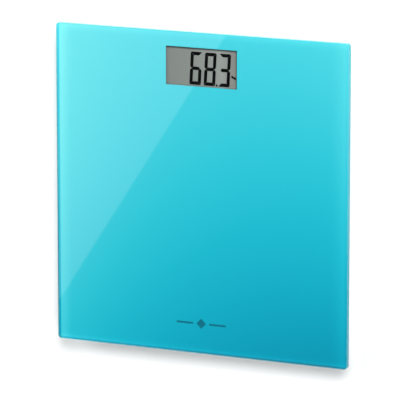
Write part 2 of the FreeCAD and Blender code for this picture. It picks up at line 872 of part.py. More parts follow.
def strain_gauge(corner):
    """The foil gauge under its cap of sealant, on top of the tongue's neck."""
    name, *where = corner
    body = new_body(f"strain_gauge_{name}")
    cap = new_sketch(body, f"gauge_outline_{name}", level="cell_top")
    rectangle(cap, "gauge_width", "gauge_length", "0", "gauge_y")
    pad(body, cap, "gauge_thick")
    top = at_level("cell_top + gauge_thick")
    dress(body, "Fillet", "Radius", "gauge_round", lambda e: top(e) or upright(e))
    at_corner(body, *where)
    keep(body, f"strain_gauge_{name}")


def screws(label, places, level, head, shank, length, heads_down=False):
    """Pan head screws whose heads bear on one level, each with a cross recess."""
    body = new_body(label)
    heads = new_sketch(body, f"{label}_heads", level=level)
    shanks = new_sketch(body, f"{label}_shanks", level=level)
    side = "-" if heads_down else "+"
    recesses = new_sketch(body, f"{label}_recesses", level=f"{level} {side} screw_head_thick")
    for place in places:
        circle(heads, head, *place)
        circle(shanks, shank, *place)
        cross(recesses, f"{head} * 0.6", "screw_cross_width", *place)
    pad(body, heads, "screw_head_thick", down=heads_down)
    pad(body, shanks, length, down=not heads_down)
    pocket(body, recesses, "screw_cross_deep", upward=heads_down)
    keep(body, label)


def cell_screws():
    """Two screws up through each load cell into its seat."""
    places = []
    for _, side_x, side_y, turn in CORNERS:
        for side in (-1, 1):
            at = Rotation(Vector(0, 0, 1), turn).multVec(Vector(side, -side, 0))
            x = f"{side_x} * foot_x + {round(at.x)} * cell_screw_at"
            y = f"{side_y} * foot_y + {round(at.y)} * cell_screw_at"
            places.append((x, y))
    shank = ("cell_screw_shank", "cell_screw_length")
    screws("cell_screws", places, "cell_bottom", "cell_screw_head", *shank, heads_down=True)


# ---------------------------------------------------------------- display and board


def lcd_panel():
    """Two bonded panes; the upper one overhangs the lower as the contact ledge."""
    body = new_body("lcd_panel")
    upper = new_sketch(body, "lcd_upper", level="lcd_bottom + lcd_glass")
    rectangle(upper, "lcd_width", "lcd_depth", "0", "display_y")
    pad(body, upper, "lcd_glass")
    lower = new_sketch(body, "lcd_lower", level="lcd_bottom")
    rectangle(lower, "lcd_width", "lcd_depth - lcd_ledge", "0", "display_y + lcd_ledge / 2")
    pad(body, lower, "lcd_glass")
    keep(body, "lcd_panel")


def lcd_reflector():
    """The film behind the lower pane."""
    film = ("lcd_width", "lcd_depth - lcd_ledge", "reflector_thick")
    place = ("0", "display_y + lcd_ledge / 2", "lcd_bottom - reflector_thick")
    keep(box("reflector_film", *film, *place), "lcd_reflector")


def lcd_holder():
    """The frame that stands on the board and holds the panel up to the window."""
    body = new_body("lcd_holder")
    block = new_sketch(body, "holder_block", level="board_top")
    rectangle(block, "holder_width", "holder_depth", "0", "display_y")
    pad(body, block, "holder_top - board_top")
    seat = new_sketch(body, "holder_seat", level="holder_top")
    rectangle(seat, "lcd_width + 2 * holder_play", "lcd_depth + 2 * holder_play", "0", "display_y")
    pocket(body, seat, "holder_top - lcd_bottom + reflector_thick")
    opening = new_sketch(body, "holder_opening", level="holder_top")
    rectangle(opening, "holder_open_width", "holder_open_depth", "0", "holder_open_y")
    pocket(body, opening, "holder_top - board_top")
    pins = new_sketch(body, "holder_pins", level="board_top")
    for place in four_places("holder_pin_x", "holder_pin_y", "display_y"):
        circle(pins, "holder_pin_radius", *place)
    pad(body, pins, "board_thick + holder_pin_out", down=True)
    keep(body, "lcd_holder")


def zebra_strip():
    """The rubber connector between the board and the panel's ledge."""
    block = ("zebra_length", "zebra_thick", "lcd_bottom + lcd_glass - board_top")
    place = ("0", "display_y - lcd_depth / 2 + lcd_ledge / 2", "board_top")
    keep(box("zebra_block", *block, *place), "zebra_strip")


def main_board():
    """The circuit board, holed for its four screws and the holder's pins."""
    body = new_body("main_board")
    blank = new_sketch(body, "board_outline", level="board_bottom")
    rectangle(blank, "board_width", "board_depth", "0", "board_y")
    pad(body, blank, "board_thick")
    holes = new_sketch(body, "board_holes", level="board_top")
    for place in four_places("board_screw_x", "board_screw_y", "board_y"):
        circle(holes, "board_screw_hole", *place)
    for place in four_places("holder_pin_x", "holder_pin_y", "display_y"):
        circle(holes, "holder_pin_radius + holder_pin_play", *place)
    pocket(body, holes, "board_thick")
    keep(body, "main_board")


def board_screws():
    places = four_places("board_screw_x", "board_screw_y", "board_y")
    shank = ("board_screw_shank", "board_screw_length")
    screws("board_screws", places, "board_top", "board_screw_head", *shank)


def controller_blob():
    """The bare chip under its drop of black resin, a low dome."""
    body = new_body("controller_blob")
    profile = new_sketch(body, "blob_profile", plane="XZ_Plane")
    section = [("0", "0"), ("chip_radius", "0")]
    for degrees in range(20, 90, 20):
        wide, tall = math.cos(math.radians(degrees)), math.sin(math.radians(degrees))
        section.append((f"chip_radius * {wide:.3f}", f"chip_tall * {tall:.3f}"))
    section.append(("0", "chip_tall"))
    outline(profile, section)
    revolve(body, profile)
    bind(body, Placement__Base__x="chip_x", Placement__Base__y="chip_y", Placement__Base__z="board_top")
    keep(body, "controller_blob")


def board_components():
    """Chip capacitors and resistors in two rows, and a memory chip, a crystal and a capacitor between."""
    capacitor = ("capacitor_length", "capacitor_width", "capacitor_tall")
    resistor = ("resistor_length", "resistor_width", "resistor_tall")
    memory = ("memory_length", "memory_width", "memory_tall")
    smoothing = ("filter_length", "filter_width", "filter_tall")
    crystal = ("crystal_radius", "crystal_tall")
    middle, far_row = "part_row_y + part_row_gap", "part_row_y + 2 * part_row_gap"
    things = []
    for column in range(5):
        x = f"part_row_x + {column} * part_row_pitch"
        things.append(box(f"capacitor_{column}", *capacitor, x, "part_row_y", "board_top"))
        things.append(box(f"resistor_{column}", *resistor, x, far_row, "board_top"))
    things.append(box("memory_chip", *memory, "memory_x", middle, "board_top"))
    things.append(box("filter_capacitor", *smoothing, "filter_x", middle, "board_top"))
    things.append(cylinder("crystal_can", *crystal, "part_row_x", middle, "board_top"))
    keep(together("component_group", things), "board_components")


# ---------------------------------------------------------------- battery bay pieces


def coin_cell():
    """A 20 mm lithium cell, its can's large face down towards the door."""
    body = new_body("coin_cell")
    profile = new_sketch(body, "coin_profile", plane="XZ_Plane")
    section = [
        ("0", "0"),
        ("coin_radius - 0.3", "0"),
        ("coin_radius", "0.3"),
        ("coin_radius", "coin_thick - 0.5"),
        ("coin_radius - 0.4", "coin_thick - 0.3"),
        ("coin_radius - 1.2", "coin_thick - 0.3"),
        ("coin_radius - 1.5", "coin_thick"),
        ("0", "coin_thick"),
    ]
    outline(profile, section)
    revolve(body, profile)
    bind(body, Placement__Base__y="bay_y", Placement__Base__z="coin_bottom")
    keep(body, "coin_cell")


def negative_contact():
    """A thin leaf under the board that bears on the coin cell's small face."""
    leaf_place = ("0", "bay_y", "board_bottom - leaf_thick")
    leaf = box("leaf", "leaf_length", "leaf_width", "leaf_thick", *leaf_place)
    coin_top = "coin_bottom + coin_thick"
    drop = f"board_bottom - leaf_thick / 2 - ({coin_top})"
    dimple = cylinder("dimple", "leaf_dimple", drop, "0", "bay_y", coin_top)
    keep(fused("leaf_with_dimple", [leaf, dimple]), "battery_contact_negative")


def positive_contact():
    """A bent clip beside the coin cell: a tab under the board and a finger against the rim."""
    finger_x = "0 - coin_radius - clip_thick / 2"
    tall = "board_bottom - clip_bottom"
    finger = box("clip_finger", "clip_thick", "clip_width", tall, finger_x, "bay_y", "clip_bottom")
    tab_x, tab_z = "0 - coin_radius - clip_tab / 2", "board_bottom - clip_thick"
    tab = box("clip_tab", "clip_tab", "clip_width", "clip_thick", tab_x, "bay_y", tab_z)
    keep(fused("clip", [finger, tab]), "battery_contact_positive")


def battery_door():
    """A plate with a hinge bead and pins at one end and the latch's bend at the other."""
    body = new_body("battery_door")
    plate = new_sketch(body, "door_plate", level="tray_bottom")
    middle = "(door_axis_y + door_end_y) / 2"
    rectangle(plate, "door_width", "door_axis_y - door_end_y", "0", middle)
    pad(body, plate, "door_thick")
    bead = new_sketch(body, "door_bead_end", plane="YZ_Plane")
    circle(bead, "door_bead", "door_axis_y", "door_axis_z")
    pad(body, bead, "door_width", both_ways=True)
    pins = new_sketch(body, "door_pins", plane="YZ_Plane")
    circle(pins, "door_pin_radius", "door_axis_y", "door_axis_z")
    pad(body, pins, "door_width + 2 * door_pin_length", both_ways=True)
    notch = new_sketch(body, "door_notch", level="tray_bottom")
    depth = "(riser_y - door_end_y)"
    rectangle(notch, "latch_width + latch_thick", depth, "0", f"door_end_y + {depth} / 2")
    pocket(body, notch, "door_thick", upward=True)
    riser = new_sketch(body, "latch_riser", plane="YZ_Plane")
    foot_level = "tray_bottom + door_thick - door_gap"
    under, over = "latch_axis_z - latch_root_play", "latch_axis_z + latch_hood"
    section = [
        ("riser_y", foot_level),
        ("riser_y + latch_thick", foot_level),
        ("riser_y + latch_thick", over),
        ("latch_axis_y", over),
        ("latch_axis_y", under),
        ("riser_y", under),
    ]
    outline(riser, section)
    pad(body, riser, "latch_width", both_ways=True)
    socket = new_sketch(body, "latch_socket", plane="YZ_Plane")
    circle(socket, "latch_root + latch_root_play", "latch_axis_y", "latch_axis_z")
    pocket(body, socket, "latch_width + latch_thick", both_ways=True)
    ridges = new_sketch(body, "door_ridges", level="tray_bottom")
    for step in range(4):
        place = f"riser_y + 2 * door_thick + {step} * door_ridge_pitch"
        rectangle(ridges, "door_ridge_length", "door_ridge_width", "0", place)
    pocket(body, ridges, "door_ridge_deep", upward=True)
    keep(body, "battery_door")


def battery_latch():
    """The springy arm at the door's end, with the catch that holds it shut."""
    body = new_body("battery_latch")
    arm = new_sketch(body, "latch_arm", plane="YZ_Plane")
    catch = "bay_ceiling + door_gap / 2"
    section = [
        ("door_end_y", "tray_bottom"),
        ("latch_inner", "tray_bottom"),
        ("latch_inner", "latch_axis_z"),
        ("door_end_y", "latch_axis_z"),
        ("door_end_y", f"{catch} + 1.5 * latch_catch"),
        ("door_end_y - latch_catch", f"{catch} + 0.7 * latch_catch"),
        ("door_end_y - latch_catch", catch),
        ("door_end_y", catch),
    ]
    outline(arm, section)
    pad(body, arm, "latch_width", both_ways=True)
    root = new_sketch(body, "latch_root_end", plane="YZ_Plane")
    circle(root, "latch_root", "latch_axis_y", "latch_axis_z")
    pad(body, root, "latch_width", both_ways=True)
    keep(body, "battery_latch")


# ---------------------------------------------------------------- unit button and label


def unit_button():
    """A cap with a lip inside the tray and a slightly dished face."""
    body = new_body("unit_button")
    profile = new_sketch(body, "unit_profile", plane="XZ_Plane")
    lip_radius, lip_top = "unit_radius + unit_lip", "unit_lip_bottom + unit_lip_thick"
    section = [
        ("0", "unit_face + unit_gap"),
        ("unit_radius * 0.6", "unit_face + unit_gap / 2"),
        ("unit_radius - unit_gap", "unit_face"),
        ("unit_radius", "unit_face + unit_gap"),
        ("unit_radius", "unit_lip_bottom"),
        (lip_radius, "unit_lip_bottom"),
        (lip_radius, lip_top),
        ("unit_stem", lip_top),
        ("unit_stem", "unit_top"),
        ("0", "unit_top"),
    ]
    outline(profile, section)
    revolve(body, profile)
    bind(body, Placement__Base__x="unit_x", Placement__Base__y="unit_y")
    keep(body, "unit_button")


def unit_switch():
    """The tactile switch's housing under the board, bored for its plunger."""
    body = new_body("unit_switch")
    housing = new_sketch(body, "switch_housing", level="switch_bottom")
    rectangle(housing, "switch_size", "switch_size")
    pad(body, housing, "board_bottom - switch_bottom")
    bore = new_sketch(body, "switch_bore", level="switch_bottom")
    circle(bore, "plunger_radius + plunger_play")
    pocket(body, bore, "switch_bore", upward=True)
    bind(body, Placement__Base__x="unit_x", Placement__Base__y="unit_y")
    keep(body, "unit_switch")


def switch_plunger():
    """The switch's stem, which rests on the button."""
    stem = ("plunger_radius", "switch_bottom + plunger_inside - unit_top")
    keep(cylinder("plunger_stem", *stem, "unit_x", "unit_y", "unit_top"), "switch_plunger")


def rating_label():
    """A blank sticker under the tray."""
    sheet = ("label_width", "label_depth", "label_thick")
    keep(box("label_sheet", *sheet, "0", "label_y", "tray_bottom - label_thick"), "rating_label")


# ---------------------------------------------------------------- leads


def beside(points, offset):
    """The route moved sideways in plan by offset, keeping each run parallel."""
    moved = []
    for i, point in enumerate(points):
        around = points[max(i - 1, 0) : i + 2]
        runs = [b - a for a, b in zip(around, around[1:])]
        normals = [Vector(-run.y, run.x, 0).normalize() for run in runs]
        across = normals[0] + normals[-1]
        moved.append(point + across * (2 * offset / across.dot(across)))
    return moved


def lead(points, radius):
    """A wire along points: straight runs joined by tangent arcs as large as the runs allow.

    Returns the wire's solid and its smallest bend radius."""
    edges, bends, start = [], [], points[0]
    for before, corner, after in zip(points, points[1:], points[2:]):
        back, ahead = before - corner, after - corner
        reach = 0.45 * min(back.Length, ahead.Length)
        back.normalize()
        ahead.normalize()
        half = back.getAngle(ahead) / 2
        bend = reach * math.tan(half)
        inward = (back + ahead).normalize()
        nearest = corner + inward * (reach / math.cos(half) - bend)
        arc_start, arc_end = corner + back * reach, corner + ahead * reach
        edges.append(Part.LineSegment(start, arc_start).toShape())
        edges.append(Part.Arc(arc_start, nearest, arc_end).toShape())
        bends.append(bend)
        start = arc_end
    edges.append(Part.LineSegment(start, points[-1]).toShape())
    path = Part.Wire(edges)
    section = Part.Wire(Part.Circle(points[0], points[1] - points[0], radius).toShape())
    tube = path.makePipeShell([section], True, False)
    expected = math.pi * radius**2 * path.Length
    if abs(tube.Volume - expected) > 0.01 * expected:
        raise RuntimeError(f"a lead's volume is {tube.Volume:.1f} and not {expected:.1f}")
    return tube, min(bends)


def cell_leads(corner):
    """Three leads side by side, from the gauge over the ribs to the board's edge."""
    name, side_x, side_y, turn = corner
    x, y, level = size("foot_x"), side_y * size("foot_y"), size("lead_height")
    plan = DISPLAY_ROUTE if turn else HEEL_ROUTE
    route = [Vector(side_x * (x - inward), y + along, level - down) for inward, along, down in plan]
    pitch, radius = size("lead_pitch"), size("lead_radius")
    made = [lead(beside(route, step * pitch), radius) for step in (-1, 0, 1)]
    print(f"cell_leads_{name}: smallest bend radius {min(bend for _, bend in made):.1f} mm")
    feature = DOC.addObject("Part::Feature", f"leads_{name}")
    feature.Shape = Part.makeCompound([tube for tube, _ in made])
    keep(feature, f"cell_leads_{name}")


# ---------------------------------------------------------------- assembly


def build():
    platform_glass()
    colour_print()
    emblem_print()
    bonding_tape()
    base_tray()
    for corner in CORNERS:
        foot(corner)
        foot_pad(corner)
        load_button(corner)
        load_cell(corner)
        cell_seat(corner)
        strain_gauge(corner)
        cell_leads(corner)
    cell_screws()
    lcd_panel()
    lcd_reflector()
    lcd_holder()
    zebra_strip()
    main_board()
    board_screws()
    controller_blob()
    board_components()
    coin_cell()
    negative_contact()
    positive_contact()
    battery_door()
    battery_latch()
    unit_button()
    unit_switch()
    switch_plunger()
    rating_label()
    DOC.recompute()


def write_parts():
    """Stops on any failed object or bad shape, then writes each sub-part's STEP file."""
    for thing in DOC.Objects:
        if {"Invalid", "Error"} & set(thing.State):
            raise RuntimeError(f"{thing.Label} failed: {thing.State}")
    for node in NODES:
        if node.Shape.isNull() or not node.Shape.isValid() or not node.Shape.Solids:
            raise RuntimeError(f"{node.Label} has no valid solid")
    os.makedirs("parts", exist_ok=True)
    for node in NODES:
        node.Shape.exportStep(f"parts/{node.Label}.step")
    print(f"{len(NODES)} sub-parts written")


build()
write_parts()
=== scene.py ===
import json
import math

import bmesh
import bpy
from mathutils import Matrix, Vector


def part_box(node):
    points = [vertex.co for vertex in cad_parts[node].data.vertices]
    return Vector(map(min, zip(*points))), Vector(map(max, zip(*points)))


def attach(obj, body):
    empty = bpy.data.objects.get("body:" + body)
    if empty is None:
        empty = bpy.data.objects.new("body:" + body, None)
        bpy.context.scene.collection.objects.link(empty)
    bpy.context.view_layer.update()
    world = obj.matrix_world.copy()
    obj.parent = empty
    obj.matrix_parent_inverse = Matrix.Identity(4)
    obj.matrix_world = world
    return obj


# Looks of a glass platform scale. Metres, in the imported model's frame: +Z up out of the glass,
# +Y towards the display.

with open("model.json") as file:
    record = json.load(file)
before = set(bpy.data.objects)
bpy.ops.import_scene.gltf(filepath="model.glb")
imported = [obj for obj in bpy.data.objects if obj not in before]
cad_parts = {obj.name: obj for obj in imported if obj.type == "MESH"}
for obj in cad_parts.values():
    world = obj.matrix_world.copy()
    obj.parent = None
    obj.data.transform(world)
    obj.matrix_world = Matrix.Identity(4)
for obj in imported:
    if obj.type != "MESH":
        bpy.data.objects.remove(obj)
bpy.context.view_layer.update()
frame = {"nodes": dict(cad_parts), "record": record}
NODES = frame["nodes"]
MM = 0.001
CORNERS = ("display_left", "display_right", "heel_left", "heel_right")

GLASS_LOW, GLASS_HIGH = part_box("platform_glass")
PRINT_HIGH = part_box("colour_print")[1]
LCD_LOW, LCD_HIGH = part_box("lcd_panel")
WINDOW_MIDDLE = Vector((0, 111.8)) * MM
WINDOW_SIZE = Vector((68, 33.95)) * MM
WINDOW_LOW = WINDOW_MIDDLE - WINDOW_SIZE / 2
WINDOW_HIGH = WINDOW_MIDDLE + WINDOW_SIZE / 2
TOP_MIDDLE = Vector((0, 0, GLASS_HIGH.z))
LABEL_LOW, LABEL_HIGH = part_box("rating_label")
LABEL_SIZE = (LABEL_HIGH - LABEL_LOW).to_2d()
LABEL_MIDDLE = ((LABEL_HIGH + LABEL_LOW) / 2).to_2d()


# ---------------------------------------------------------------- material building


def new_material(name, **surface):
    """A material with one Principled shader whose plain values are set on its own sockets."""
    material = bpy.data.materials.new(name)
    material.use_nodes = True
    tree = material.node_tree
    shader = tree.nodes["Principled BSDF"]
    for socket, value in surface.items():
        shader.inputs[socket.replace("_", " ")].default_value = value
    return material, tree, shader


def feed(tree, socket, value):
    """Gives a socket a value or another node's output."""
    if isinstance(value, bpy.types.NodeSocket):
        tree.links.new(value, socket)
    else:
        socket.default_value = value


def node(tree, kind, settings=None, **sockets):
    """A node with its settings; each named socket takes a value or another node's output."""
    made = tree.nodes.new(f"ShaderNode{kind}")
    for name, value in (settings or {}).items():
        setattr(made, name, value)
    for name, value in sockets.items():
        feed(tree, made.inputs[name.replace("_", " ")], value)
    return made


def place(tree, stretch=(1, 1, 1)):
    """The piece's own coordinates, in metres, stretched along each axis."""
    own = tree.nodes.new("ShaderNodeTexCoord").outputs["Object"]
    return node(tree, "Mapping", Vector=own, Scale=stretch).outputs["Vector"]


def noise(tree, where, scale, detail=3.0, rough=0.55):
    """A cloudy pattern from 0 to 1, with scale features in a metre."""
    made = node(tree, "TexNoise", Vector=where, Scale=scale, Detail=detail, Roughness=rough)
    return made.outputs["Fac"]


def ramp(tree, factor, stops):
    """Colours along a factor; each stop is a place and a colour."""
    made = node(tree, "ValToRGB", Fac=factor)
    elements = made.color_ramp.elements
    while len(elements) < len(stops):
        elements.new(0.5)
    for element, (at, colour) in zip(elements, stops):
        element.position = at
        element.color = (*colour, 1)
    return made.outputs["Color"]


def spread(tree, factor, low, high):
    """A factor of 0 to 1 taken to the range low to high."""
    return node(tree, "MapRange", Value=factor, To_Min=low, To_Max=high).outputs["Result"]


# A Mix node keeps sockets for every data type; these are the ones that a colour uses.
MIX_FACTOR, MIX_ONE, MIX_OTHER, MIX_RESULT = 0, 6, 7, 2


def blend(tree, one, other, factor, kind="MIX"):
    """One colour towards another by a factor, or times it."""
    made = node(tree, "Mix", {"data_type": "RGBA", "blend_type": kind})
    for socket, value in ((MIX_FACTOR, factor), (MIX_ONE, one), (MIX_OTHER, other)):
        feed(tree, made.inputs[socket], value)
    return made.outputs[MIX_RESULT]


def shade(colour, amount):
    """The colour made lighter or darker."""
    return tuple(min(1.0, c * amount) for c in colour)


def bumped(tree, shader, height, distance):
    """Adds relief of that distance in metres to the shader."""
    made = node(tree, "Bump", Height=height, Distance=distance)
    tree.links.new(made.outputs["Normal"], shader.inputs["Normal"])


def colour_by(tree, shader, factor, stops):
    """The shader's colour taken from stops along a factor."""
    tree.links.new(ramp(tree, factor, stops), shader.inputs["Base Color"])


def rough_by(tree, shader, factor, low, high):
    """The shader's roughness, from low to high along a factor."""
    tree.links.new(spread(tree, factor, low, high), shader.inputs["Roughness"])


def total(tree, *terms):
    """The sum of factors, each with its weight."""
    whole = 0.0
    for factor, weight in terms:
        made = node(tree, "Math", {"operation": "MULTIPLY_ADD"})
        for socket, value in zip(made.inputs, (factor, weight, whole)):
            feed(tree, socket, value)
        whole = made.outputs["Value"]
    return whole


def product(tree, one, other):
    """One factor times another."""
    made = node(tree, "Math", {"operation": "MULTIPLY"})
    tree.links.new(one, made.inputs[0])
    tree.links.new(other, made.inputs[1])
    return made.outputs["Value"]


def fade(tree, along, edge, inner):
    """1 at the edge, dying away smoothly to 0 at inner."""
    made = node(
        tree,
        "MapRange",
        {"interpolation_type": "SMOOTHSTEP"},
        Value=along,
        From_Min=edge,
        From_Max=inner,
        To_Min=1.0,
        To_Max=0.0,
    )
    return made.outputs["Result"]


def axes(tree, stretch=(1, 1, 1)):
    """The piece's own X and Y, in metres, stretched along each axis."""
    parted = node(tree, "SeparateXYZ", Vector=place(tree, stretch)).outputs
    return parted["X"], parted["Y"]


def moulded(name, colour, rough=0.5, grain=2600.0, relief=0.02, wear=0.06):
    """Moulded plastic: a spark-eroded grain, slow cloudiness and a few rubbed patches."""
    material, tree, shader = new_material(name)
    where = place(tree)
    cloud = noise(tree, where, 35.0, 4.0)
    colour_by(tree, shader, cloud, [(0.3, shade(colour, 1 - wear)), (0.7, shade(colour, 1 + wear))])
    rough_by(tree, shader, noise(tree, where, 110.0, 5.0), rough - 0.07, rough + 0.07)
    bumped(tree, shader, noise(tree, where, grain, 2.0), relief * MM)
    return material


def brushed(name, colour, rough=0.3, along=(1, 14, 14), wear=0.12):
    """Metal with fine parallel scratches and slightly uneven tarnish."""
    material, tree, shader = new_material(name, Metallic=1.0)
    streaks = noise(tree, place(tree, along), 900.0, 4.0, 0.7)
    cloud = noise(tree, place(tree), 90.0, 4.0)
    colour_by(tree, shader, cloud, [(0.25, shade(colour, 1 - wear)), (0.75, shade(colour, 1 + wear))])
    rough_by(tree, shader, streaks, rough - 0.1, rough + 0.12)
    bumped(tree, shader, streaks, 0.006 * MM)
    return material


def rubber(name, colour, rough=0.78, grain=1800.0):
    """Matt rubber with a dusty bloom and a fine pebble."""
    material, tree, shader = new_material(name, Specular_IOR_Level=0.35)
    where = place(tree)
    dust = noise(tree, where, 160.0, 6.0, 0.65)
    colour_by(tree, shader, dust, [(0.35, colour), (0.8, shade(colour, 1.7))])
    rough_by(tree, shader, dust, rough - 0.1, rough + 0.12)
    bumped(tree, shader, noise(tree, where, grain, 3.0), 0.03 * MM)
    return material


# ---------------------------------------------------------------- the platform's materials

GLASS_INDEX = 1.52


def clear_glass():
    """Polished glass; rays from lamps pass it, because they don't refract towards what is behind."""
    material, tree, shader = new_material(
        "clear_glass", Base_Color=(0.93, 0.985, 0.975, 1), Transmission_Weight=1.0, IOR=GLASS_INDEX
    )
    smears = noise(tree, place(tree, (1, 0.35, 1)), 14.0, 5.0, 0.6)
    rough_by(tree, shader, smears, 0.0, 0.012)
    path = tree.nodes.new("ShaderNodeLightPath")
    lamps = node(tree, "Math", {"operation": "MAXIMUM"})
    tree.links.new(path.outputs["Is Shadow Ray"], lamps.inputs[0])
    tree.links.new(path.outputs["Is Diffuse Ray"], lamps.inputs[1])
    passed = node(tree, "BsdfTransparent", Color=(0.955, 0.985, 0.98, 1))
    mixed = node(tree, "MixShader", Fac=lamps.outputs["Value"])
    for socket, closure in zip(mixed.inputs[1:], (shader, passed)):
        tree.links.new(closure.outputs["BSDF"], socket)
    tree.links.new(mixed.outputs["Shader"], tree.nodes["Material Output"].inputs["Surface"])
    return material


# The print's colours from its darkest tone to its palest; the spread between them carries painted
# light and shade.
PRINT_TONES = (
    (0.22, (0.0030, 0.185, 0.270)),
    (0.38, (0.0034, 0.309, 0.449)),
    (0.46, (0.0064, 0.374, 0.516)),
    (0.54, (0.0125, 0.439, 0.571)),
    (0.62, (0.0275, 0.504, 0.626)),
    (0.70, (0.0600, 0.569, 0.677)),
    (0.80, (0.1050, 0.650, 0.728)),
    (0.92, (0.1900, 0.745, 0.770)),
)
# Its painted light over the plate, a gradient of tone whose x and y both run from -1 to 1: at the
# middle, its slopes towards the display and the right, how each slope bends, and how one changes
# along the other.
TONE_MIDDLE = 0.596
PAINTED_LIGHT_UP = 0.161
PAINTED_LIGHT_RIGHT = -0.097
PAINTED_LIGHT_BEND_UP = -0.037
PAINTED_LIGHT_BEND_RIGHT = 0.064
PAINTED_LIGHT_TWIST = 0.040
TONE_SPECKLE = 0.012
SPECKLE_SCALE = 420.0
# Painted light and shade in bands along the plate's edges: what each adds at its outer end, and where
# it begins and dies away.
PAINTED_EDGE_BANDS_X = ((0.08, -0.985, -0.90), (0.065, 1.0, 0.86), (-0.28, -0.993, -0.985), (-0.06, 0.985, 0.975))
PAINTED_EDGE_BANDS_Y = ((0.05, 0.99, 0.95), (0.07, -0.99, -0.965), (-0.16, -0.994, -0.986))


def turquoise_print():
    """The back print, turquoise under painted light: a painted gradient, deep at the heel and paler
    towards the display, and painted light and shade along its edges.
    """
    material, tree, shader = new_material("turquoise_print", Roughness=0.5, Specular_IOR_Level=0.0)
    x, y = axes(tree, (1 / PRINT_HIGH.x, 1 / PRINT_HIGH.y, 1))
    painted_edge_bands = [(fade(tree, x, outer, inner), added) for added, outer, inner in PAINTED_EDGE_BANDS_X]
    painted_edge_bands += [(fade(tree, y, outer, inner), added) for added, outer, inner in PAINTED_EDGE_BANDS_Y]
    # The tone is painted light and shade, with a fine real speckle in the print.
    tone = total(
        tree,
        (1.0, TONE_MIDDLE),
        (y, PAINTED_LIGHT_UP),
        (x, PAINTED_LIGHT_RIGHT),
        (product(tree, x, x), PAINTED_LIGHT_BEND_RIGHT),
        (product(tree, x, y), PAINTED_LIGHT_TWIST),
        (product(tree, y, y), PAINTED_LIGHT_BEND_UP),
        (noise(tree, place(tree), SPECKLE_SCALE, 3.0), TONE_SPECKLE),
        *painted_edge_bands,
    )
    darkest, palest = PRINT_TONES[0][0], PRINT_TONES[-1][0]
    along = node(tree, "MapRange", Value=tone, From_Min=darkest, From_Max=palest).outputs["Result"]
    stops = [((at - darkest) / (palest - darkest), colour) for at, colour in PRINT_TONES]
    colour_by(tree, shader, along, stops)
    return material


def emblem_ink():
    """Darker teal ink, finely speckled."""
    material, tree, shader = new_material("emblem_ink", Roughness=0.5, Specular_IOR_Level=0.0)
    speckle = noise(tree, place(tree), 700.0, 4.0)
    colour_by(tree, shader, speckle, [(0.3, (0.004, 0.13, 0.20)), (0.7, (0.007, 0.165, 0.24))])
    return material


def foam_tape():
    """Closed-cell foam: pale, with fine pores."""
    material, tree, shader = new_material("foam_tape", Roughness=0.85)
    cells = node(tree, "TexVoronoi", Vector=place(tree), Scale=2400.0).outputs["Distance"]
    colour_by(tree, shader, cells, [(0.1, (0.60, 0.60, 0.58)), (0.6, (0.78, 0.78, 0.76))])
    bumped(tree, shader, cells, 0.05 * MM)
    return material


# ---------------------------------------------------------------- the display's materials

# Painted shadow that the window's edges cast on the recessed panel, along each of its sides: how much,
# and from where to where, in millimetres inwards from that side. A place below 0 is behind the print.
WINDOW_SHADOW_TOP = (-0.62, 0.9, 2.6)
WINDOW_SHADOW_RIGHT = (-0.62, 1.0, 2.4)
WINDOW_SHADOW_LEFT = (-0.4, -0.9, 0.2)
WINDOW_SHADOW_BOTTOM = (-0.3, -0.6, 0.4)
PANEL_CLEARNESS = 0.955
PANEL_STREAKS = 0.045


def painted_window_shadow(tree, along, side, inwards, painted_shadow):
    """The factor and weight of the painted shadow along one side of the window."""
    depth, begins, ends = painted_shadow
    return fade(tree, along, side + inwards * begins * MM, side + inwards * ends * MM), depth


def lcd_glass():
    """Grey-green polariser, a little brown at its right-hand end, with painted shadow of the window's
    edges along the window's sides.
    """
    material, tree, shader = new_material("lcd_glass", Roughness=0.38, Specular_IOR_Level=0.3)
    x, y = axes(tree)
    across = node(tree, "MapRange", Value=x, From_Min=LCD_LOW.x, From_Max=LCD_HIGH.x).outputs["Result"]
    tint = ramp(
        tree,
        across,
        [
            (0.04, (0.226, 0.222, 0.212)),
            (0.35, (0.246, 0.242, 0.232)),
            (0.75, (0.305, 0.298, 0.288)),
            (0.97, (0.225, 0.195, 0.180)),
        ],
    )
    # Painted shadow of the window's edges on the panel, over its real streaks.
    clearness_and_painted_shadow = total(
        tree,
        (1.0, PANEL_CLEARNESS),
        (noise(tree, place(tree, (1, 20, 1)), 260.0, 3.0), PANEL_STREAKS),
        painted_window_shadow(tree, y, WINDOW_HIGH.y, -1, WINDOW_SHADOW_TOP),
        painted_window_shadow(tree, x, WINDOW_HIGH.x, -1, WINDOW_SHADOW_RIGHT),
        painted_window_shadow(tree, x, WINDOW_LOW.x, 1, WINDOW_SHADOW_LEFT),
        painted_window_shadow(tree, y, WINDOW_LOW.y, 1, WINDOW_SHADOW_BOTTOM),
    )
    tree.links.new(blend(tree, tint, clearness_and_painted_shadow, 1.0, "MULTIPLY"), shader.inputs["Base Color"])
    return material


def segment_dye():
    """The dark dye of a lit segment, faintly uneven."""
    material, tree, shader = new_material("segment_dye", Roughness=0.6, Specular_IOR_Level=0.05)
    cloud = noise(tree, place(tree), 500.0, 3.0)
    colour_by(tree, shader, cloud, [(0.3, (0.0012, 0.0012, 0.0014)), (0.7, (0.003, 0.003, 0.0032))])
    return material


def reflector_film():
    """Pearl film with a fine glitter."""
    material, tree, shader = new_material("reflector_film", Metallic=0.4)
    glitter = node(tree, "TexVoronoi", Vector=place(tree), Scale=5200.0).outputs["Color"]
    colour_by(tree, shader, glitter, [(0.2, (0.50, 0.51, 0.49)), (0.8, (0.68, 0.69, 0.66))])
    rough_by(tree, shader, glitter, 0.35, 0.6)
    return material


